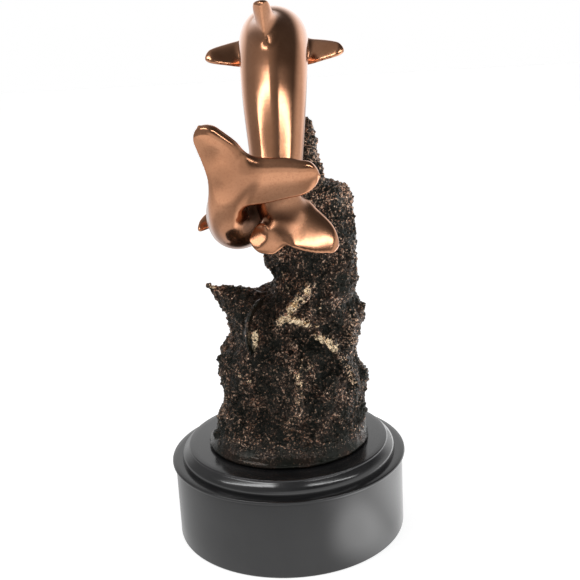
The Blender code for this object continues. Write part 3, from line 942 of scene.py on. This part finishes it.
def reef(forms):
    """The reef's casting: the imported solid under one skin, with hollows, growths, lumps and grain."""
    shape = bmesh.new()
    shape.from_mesh(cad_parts["coral_reef"].data)
    bmesh.ops.remove_doubles(shape, verts=shape.verts, dist=1e-6)
    mesh = bpy.data.meshes.new("coral_reef_skin")
    shape.to_mesh(mesh)
    shape.free()
    thing = add_object("coral_reef_skin", mesh)
    reskin(thing, ROCK_VOXEL)
    mesh = thing.data
    points = smoothed(mesh, read_points(mesh), 3)
    share = LUMPS_LEAST + (1 - LUMPS_LEAST) * above_foot(points, *LUMPS_START)
    rise = bumpy(points, ROCK_LUMPS, ROCK_WAVES) * share
    for reach, height, line in RELIEF_LINES:
        rise += swell(distances(points, line), height, reach)
    write_points(mesh, raised(mesh, points, rise))

    grown = [(read_points(mesh), [tuple(face.vertices) for face in mesh.polygons])] + growths()
    bpy.data.objects.remove(thing)
    thing = joined("coral_reef_cast", grown)
    reskin(thing, REEF_VOXEL)
    mesh = thing.data
    points = smoothed(mesh, read_points(mesh), 1)

    copper = np.zeros(len(points))
    for reach, strength, line in COPPER_LINES:
        near = fading(points, line, *(share * reach for share in COPPER_FADE))
        copper = np.maximum(copper, COPPER_SHARE * strength * near)
    for *place, strength in RIMS:
        loop = rim_line(*place)
        near = fading(points, np.vstack((loop, loop[:1])), *RIM_FADE)
        copper = np.maximum(copper, COPPER_SHARE * strength * near)
    sleek = fading(points, np.array(BLADE) - BLADE_FRONT, *BLADE_FADE)

    rough = above_foot(points, *GRAIN_START) * (1 - 0.9 * sleek)
    grain = bumpy(points, PEBBLES, RIPPLES)
    knolls = np.array([lumps(Vector(p), KNOLL_SIZE) for p in points])
    rise = GRAIN_HEIGHT * grain * (GRAIN_LEAST + (1 - GRAIN_LEAST) * rough)
    rise += KNOLL_HEIGHT * knolls * rough
    rise += swell(points[:, 2] - REEF_FOOT, *FOOT_BEAD)
    points = held_off(raised(mesh, points, rise), forms, CLEARANCE)
    points[:, 2] = np.maximum(points[:, 2], REEF_FOOT)
    write_points(mesh, points)

    right = smoothstep(*FEWER_SPECKS_ALONG_X, points[:, 0])
    top = smoothstep(*MORE_SPECKS_ALONG_Z, points[:, 2])
    write_share(mesh, "copper", copper)
    # Copper specks thinner towards the right and denser towards the top
    write_share(mesh, "worn", rough * (0.25 + (-0.22 * right + 0.75 * top)))
    write_share(mesh, "height", 0.5 + 0.9 * grain + 0.3 * knolls)
    write_share(mesh, "glaze", np.maximum(1 - rough, 0.6 * sleek))
    mesh.shade_smooth()
    return thing


def arc(middle, radius, start, end, steps):
    """Points of an arc of the plinth's profile, as radius from the axis and height."""
    turns = np.radians(np.linspace(start, end, steps))
    return [(middle[0] + radius * math.cos(t), middle[1] + radius * math.sin(t)) for t in turns]


def plinth():
    """The turned drum with its lip, its cove and its flat top disc."""
    ledge = PLINTH_HEIGHT - COVE_RISE
    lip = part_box("plinth")[1].x
    under = ledge - LIP_HEIGHT
    groove = PLINTH_RADIUS - LIP_GROOVE
    profile = [(0.0, 0.0), (0.040, 0.0)]
    profile += arc((PLINTH_RADIUS - FOOT_EDGE, FOOT_EDGE), FOOT_EDGE, -90, 0, 6)
    profile += [(PLINTH_RADIUS, 0.012), (PLINTH_RADIUS, 0.026), (PLINTH_RADIUS, under - 0.0012)]
    profile += arc((PLINTH_RADIUS - GROOVE_EDGE, under - LIP_GROOVE), GROOVE_EDGE, 0, 90, 4)
    profile += [(groove, under - 0.0003), (groove, under), (lip - LIP_GROOVE, under)]
    profile += arc((lip - LIP_EDGE, under + LIP_EDGE), LIP_EDGE, -80, 0, 7)
    profile += arc((lip - LIP_GROOVE, ledge - LIP_GROOVE), LIP_GROOVE, 0, 85, 7)
    cove = along(COVE_CURVE, 26)[::-1] * (COVE_FOOT, -COVE_RISE) + (TOP_DISC_RADIUS, PLINTH_HEIGHT)
    profile += [(0.5 * (cove[0, 0] + lip), ledge)]
    profile += [(radius, max(height, ledge)) for radius, height in cove]
    profile += arc((TOP_DISC_RADIUS - DISC_EDGE, PLINTH_HEIGHT - DISC_EDGE), DISC_EDGE, 0, 90, 7)
    profile += [(radius, PLINTH_HEIGHT) for radius in (0.052, 0.030, 0.0)]
    turns = circle(PLINTH_SEGMENTS)[:, 0]
    points, faces = [(0, 0, 0), (0, 0, PLINTH_HEIGHT)], []
    inner = profile[1:-1]
    for radius, height in inner:
        points += [(radius * math.cos(t), radius * math.sin(t), height) for t in turns]
    for i in range(len(inner) - 1):
        start = 2 + i * PLINTH_SEGMENTS
        faces += band(start, start + PLINTH_SEGMENTS, PLINTH_SEGMENTS)
    last = 2 + (len(inner) - 1) * PLINTH_SEGMENTS
    for k in range(PLINTH_SEGMENTS):
        j = (k + 1) % PLINTH_SEGMENTS
        faces.append((2 + j, 2 + k, 0))
        faces.append((last + k, last + j, 1))
    thing = new_object("plinth_turned", np.array(points), faces)
    thing.data.shade_smooth()
    thing.data.set_sharp_from_angle(angle=math.radians(40))
    return thing


def node(tree, kind, inputs=None, **settings):
    """Adds a node: settings are its own, and inputs are numbers or other nodes' outputs."""
    made = tree.nodes.new(kind)
    for name, value in settings.items():
        setattr(made, name, value)
    for key, value in (inputs or {}).items():
        if isinstance(value, bpy.types.NodeSocket):
            tree.links.new(value, made.inputs[key])
        else:
            made.inputs[key].default_value = value
    return made


def sums(tree, operation, a, b=0.0, c=0.0):
    return node(tree, "ShaderNodeMath", {0: a, 1: b, 2: c}, operation=operation).outputs[0]


def times(tree, a, b):
    return sums(tree, "MULTIPLY", a, b)


def plus(tree, value, share, base):
    """A share of a value, added to a base."""
    return sums(tree, "MULTIPLY_ADD", value, share, base)


def ramp(tree, value, low, high, out_low=0.0, out_high=1.0):
    """A value mapped smoothly from one range to another, and kept in it."""
    made = node(
        tree, "ShaderNodeMapRange",
        {"Value": value, "From Min": low, "From Max": high, "To Min": out_low, "To Max": out_high},
        interpolation_type="SMOOTHSTEP",
    )
    return made.outputs["Result"]


def blend_colors(tree, share, first, second):
    return node(tree, "ShaderNodeMix", {0: share, 6: first, 7: second}, data_type="RGBA").outputs[2]


def new_material(name, roughness, metallic):
    made = bpy.data.materials.new(name)
    made.use_nodes = True
    shader = made.node_tree.nodes["Principled BSDF"]
    shader.inputs["Roughness"].default_value = roughness
    shader.inputs["Metallic"].default_value = metallic
    return made, made.node_tree, shader


def noise_of(tree, place, scale, detail=3.0, roughness=0.5):
    made = node(
        tree, "ShaderNodeTexNoise",
        {"Vector": place, "Scale": scale, "Detail": detail, "Roughness": roughness},
    )
    return made.outputs["Fac"]


def cells_of(tree, place, scale, feature="F1"):
    made = node(tree, "ShaderNodeTexVoronoi", {"Vector": place, "Scale": scale}, feature=feature)
    return made.outputs["Distance"]


def share_of(tree, name):
    return node(tree, "ShaderNodeAttribute", attribute_name=name).outputs["Fac"]


def local_place(tree):
    return node(tree, "ShaderNodeTexCoord").outputs["Object"]


def drive(tree, shader, color, roughness, height, strength, distance):
    """Links a surface's colour, its roughness and the height that its bump comes from."""
    bump = node(tree, "ShaderNodeBump", {"Height": height, "Strength": strength, "Distance": distance})
    tree.links.new(color, shader.inputs["Base Color"])
    tree.links.new(roughness, shader.inputs["Roughness"])
    tree.links.new(bump.outputs["Normal"], shader.inputs["Normal"])


def copper_bronze():
    """Polished copper with faint clouds, patina brown in its creases, and painted shade where the castings
    lie close.
    """
    made, tree, shader = new_material("polished_copper_bronze", 0.24, 1.0)
    place = local_place(tree)
    patina = share_of(tree, "patina")
    painted_shade = share_of(tree, "painted_shade")
    clouds = noise_of(tree, place, 38, 4, 0.55)
    fine = noise_of(tree, place, 900, 2, 0.6)
    warm = blend_colors(tree, ramp(tree, clouds, 0.3, 0.7), (0.58, 0.275, 0.150, 1), (0.66, 0.330, 0.190, 1))
    color = blend_colors(tree, ramp(tree, fine, 0.45, 0.75, 0, 0.35), warm, (0.44, 0.18, 0.095, 1))
    color = blend_colors(tree, times(tree, patina, 0.55), color, (0.10, 0.045, 0.025, 1))
    # Painted shade: near black where the other dolphin lies close and on the place between the upper flukes
    color = blend_colors(tree, times(tree, painted_shade, 0.85), color, (0.050, 0.030, 0.020, 1))
    rough = plus(tree, patina, 0.12, ramp(tree, clouds, 0.25, 0.75, 0.14, 0.18))
    rough = plus(tree, painted_shade, 0.22, rough)
    drive(tree, shader, color, rough, fine, 0.05, 0.0001)
    return made


def antique_bronze():
    """Near-black patina, rubbed to bright copper on the pebbles' tops and, pitted, along the growths."""
    made, tree, shader = new_material("antique_reef_bronze", 0.5, 1.0)
    place = local_place(tree)
    copper = share_of(tree, "copper")
    glaze = share_of(tree, "glaze")
    ragged = noise_of(tree, place, 700, 4, 0.7)
    broad = noise_of(tree, place, 90, 3, 0.6)

    # A finer relief than the mesh holds
    grain = sums(tree, "SUBTRACT", 1.0, cells_of(tree, place, 760))
    specks = sums(tree, "SUBTRACT", 1.0, cells_of(tree, place, 1500))
    relief = plus(tree, specks, 0.35, times(tree, ragged, 0.6))
    relief = plus(tree, grain, 0.50, relief)
    holes = ramp(tree, cells_of(tree, place, 560), 0.26, 0.36)

    # How far the surface is rubbed: pebbles' tops, strands between them and a faint sheen below
    rubbed = plus(tree, relief, 1.3, times(tree, share_of(tree, "height"), 0.30))
    rubbed = plus(tree, broad, 0.80, rubbed)
    rubbed = plus(tree, share_of(tree, "worn"), 0.20, rubbed)
    rubbed = plus(tree, copper, 0.22, rubbed)
    tops = ramp(tree, rubbed, 1.74, 1.86)
    net = ramp(tree, cells_of(tree, place, 520, "DISTANCE_TO_EDGE"), 0.03, 0.10, 1, 0)
    strands = times(tree, net, ramp(tree, rubbed, 1.56, 1.74, 0, 0.85))
    dim = ramp(tree, rubbed, 1.42, 1.60, 0, 0.045)
    tops = sums(tree, "MAXIMUM", tops, sums(tree, "MAXIMUM", strands, dim))

    # Copper with holes through it, along the growths
    broken = plus(tree, relief, 1.1, times(tree, copper, 1.2))
    lace = times(tree, ramp(tree, broken, 1.36, 1.50), holes)
    share = sums(tree, "MAXIMUM", tops, lace)
    share = times(tree, share, ramp(tree, glaze, 0.3, 0.95, 1.0, 0.12))

    brown = ramp(tree, broad, 0.40, 0.68)
    dark = blend_colors(tree, brown, (0.010, 0.012, 0.008, 1), (0.032, 0.020, 0.014, 1))
    pale = ramp(tree, ragged, 0.40, 0.62)
    bright = blend_colors(tree, pale, (0.66, 0.33, 0.21, 1), (0.96, 0.70, 0.52, 1))
    bright = blend_colors(tree, ramp(tree, copper, 0.30, 0.70), bright, (1.00, 0.78, 0.52, 1))
    color = blend_colors(tree, share, dark, bright)
    rough = plus(tree, glaze, -0.20, ramp(tree, share, 0, 1, 0.36, 0.22))
    tree.links.new(plus(tree, share, 0.45, 0.50), shader.inputs["Metallic"])
    firm = plus(tree, glaze, -0.85, 1.0)
    firm = times(tree, firm, ramp(tree, copper, 0.3, 0.8, 1.0, 0.45))
    pitted = plus(tree, times(tree, holes, copper), 0.6, relief)
    drive(tree, shader, color, rough, pitted, firm, 0.0012)
    return made


def black_lacquer():
    """Satin black with a very faint unevenness, as brushed on."""
    made, tree, shader = new_material("satin_black_lacquer", 0.22, 0.0)
    shader.inputs["Specular IOR Level"].default_value = 0.95
    place = local_place(tree)
    broad = noise_of(tree, place, 45, 4, 0.6)
    fine = noise_of(tree, place, 1400, 2, 0.5)
    thick = ramp(tree, broad, 0.3, 0.7)
    color = blend_colors(tree, thick, (0.011, 0.011, 0.012, 1), (0.019, 0.019, 0.020, 1))
    rough = plus(tree, fine, 0.04, ramp(tree, broad, 0.25, 0.75, 0.13, 0.18))
    drive(tree, shader, color, rough, fine, 0.08, 0.0001)
    return made


def finish_piece(thing, material, cad_node):
    thing.data.materials.clear()
    thing.data.materials.append(material)
    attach(thing, "root")
    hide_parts(cad_node)


def aim_camera():
    """The photograph's view: a little above the reef, tipped down and turned a few degrees."""
    ahead = Vector((
        math.sin(CAMERA_YAW) * math.cos(CAMERA_PITCH),
        math.cos(CAMERA_YAW) * math.cos(CAMERA_PITCH),
        -math.sin(CAMERA_PITCH),
    ))
    level = ahead.cross(Vector((0, 0, 1))).normalized()
    upright = level.cross(ahead)
    right = level * math.cos(CAMERA_ROLL) + upright * math.sin(CAMERA_ROLL)
    up = upright * math.cos(CAMERA_ROLL) - level * math.sin(CAMERA_ROLL)
    data = bpy.data.cameras.new("camera")
    data.sensor_width = CAMERA_SENSOR
    data.lens = CAMERA_LENS
    camera = add_object("camera", data)
    turn = Matrix((right, up, -ahead)).transposed().to_4x4()
    camera.matrix_world = Matrix.Translation(CAMERA_PLACE) @ turn
    bpy.context.scene.camera = camera


def softbox(name, start, end, depth):
    """An overhead lamp that faces down, its long side from start to end as seen from above."""
    start, end = Vector(start), Vector(end)
    run = end - start
    data = bpy.data.lights.new(name, "AREA")
    data.shape = "RECTANGLE"
    data.size = run.length
    data.size_y = depth
    data.energy = SOFTBOX_RADIANCE * math.pi * run.length * depth
    lamp = add_object(name, data)
    lamp.location = (*(0.5 * (start + end)), SOFTBOX_HEIGHT)
    lamp.rotation_euler = (0, 0, math.atan2(run.y, run.x))


def lit_or_seen(tree, lit, seen):
    """What the part is lit by, with what the camera sees there in its place."""
    ray = node(tree, "ShaderNodeLightPath").outputs["Is Camera Ray"]
    return node(tree, "ShaderNodeMixShader", {0: ray, 1: lit.outputs[0], 2: seen.outputs[0]}).outputs[0]


def pale_floor():
    """A plain floor, which throws most light from behind and in its bright spots, and less round the trophy
    and to the front, as a painted shadow.
    """
    corners = [(x * FLOOR_REACH, y * FLOOR_REACH, 0) for x, y in ((-1, -1), (1, -1), (1, 1), (-1, 1))]
    floor = new_object("floor", corners, [(0, 1, 2, 3)])
    made, tree, shader = new_material("pale_floor", 0.8, 0.0)
    shader.inputs["Base Color"].default_value = (0.90, 0.90, 0.90, 1)
    shader.inputs["Emission Color"].default_value = WHITE
    shader.inputs["Emission Strength"].default_value = 0.70
    place = local_place(tree)
    away = node(tree, "ShaderNodeVectorMath", {0: place}, operation="LENGTH").outputs["Value"]
    ahead = node(tree, "ShaderNodeSeparateXYZ", {0: place}).outputs[1]
    # Painted shadow: the glow is dimmer from 0.1 m out to about 0.4 m round the middle, and beyond that
    # dimmer towards the front than behind
    near = ramp(tree, away, 0.10, 0.20, 0.70, 0.45)
    far = ramp(tree, ahead, -0.40, -0.15, 0.62, 0.32)
    share = plus(tree, ramp(tree, away, 0.24, 0.44), far, near)
    for spot, reach, more in FLOOR_SPOTS:
        gap = node(tree, "ShaderNodeVectorMath", {0: place, 1: spot}, operation="DISTANCE").outputs["Value"]
        share = sums(tree, "ADD", share, ramp(tree, gap, 0.3 * reach, reach, more, 0))
    glow = node(tree, "ShaderNodeEmission", {"Color": WHITE, "Strength": share})
    surface = lit_or_seen(tree, glow, shader)
    tree.links.new(surface, tree.nodes["Material Output"].inputs["Surface"])
    floor.data.materials.append(made)


def tent():
    """The sky: bright near the horizon, most of all at the back, dimmer to the left and dark above."""
    world = bpy.data.worlds.new("tent")
    bpy.context.scene.world = world
    world.use_nodes = True
    tree = world.node_tree
    tree.nodes.clear()
    facing = node(tree, "ShaderNodeTexCoord").outputs["Generated"]
    x, y, z = node(tree, "ShaderNodeSeparateXYZ", {0: facing}).outputs
    low = ramp(tree, z, 0.25, 0.65, 1.0, 0.0)
    rear = ramp(tree, y, 0.30, 0.80, 0.0, 1.30)
    rear = times(tree, rear, ramp(tree, x, -0.80, -0.30, 0.45, 1.0))
    front = ramp(tree, x, -0.70, -0.10, 0.32, 0.80)
    sides = times(tree, low, sums(tree, "MAXIMUM", rear, front))
    roof = ramp(tree, x, -0.25, 0.35, 0.30, 0.07)
    share = sums(tree, "MAXIMUM", sides, roof)
    lit = node(tree, "ShaderNodeBackground", {"Color": WHITE, "Strength": share})
    plain = node(tree, "ShaderNodeBackground", {"Color": WHITE, "Strength": 1.0})
    node(tree, "ShaderNodeOutputWorld", {"Surface": lit_or_seen(tree, lit, plain)})


def studio():
    """A pale floor, two long overhead softboxes and a tent round them."""
    pale_floor()
    for name, (start, end, depth) in SOFTBOXES.items():
        softbox(name, start, end, depth)
    tent()
    bpy.context.scene.view_settings.view_transform = "Standard"


def main():
    aim_camera()
    studio()
    bronze = copper_bronze()
    high, low = seat(UPPER_SEAT), seat(LOWER_SEAT)
    upper, upper_forms = dolphin(
        "upper_dolphin_cast", UPPER_BODY, UPPER_FINS, UPPER_LENGTH, high, UPPER_WEB, TIP_FLAT
    )
    lower, lower_forms = dolphin(
        "lower_dolphin_cast", LOWER_BODY, LOWER_FINS, LOWER_LENGTH, low, LOWER_WEB
    )
    # satin: the place between the upper flukes that gets painted shade
    satin = high + UPPER_LENGTH * np.array(UPPER_PAINTED_SHADE[:3])
    # Painted shade on each dolphin where the other one lies close
    paint_shade_near_castings(upper, lower_forms, (*satin, UPPER_LENGTH * UPPER_PAINTED_SHADE[3]))
    paint_shade_near_castings(lower, upper_forms)
    finish_piece(upper, bronze, "upper_dolphin")
    finish_piece(lower, bronze, "lower_dolphin")
    finish_piece(reef(upper_forms + lower_forms), antique_bronze(), "coral_reef")
    finish_piece(plinth(), black_lacquer(), "plinth")


main()
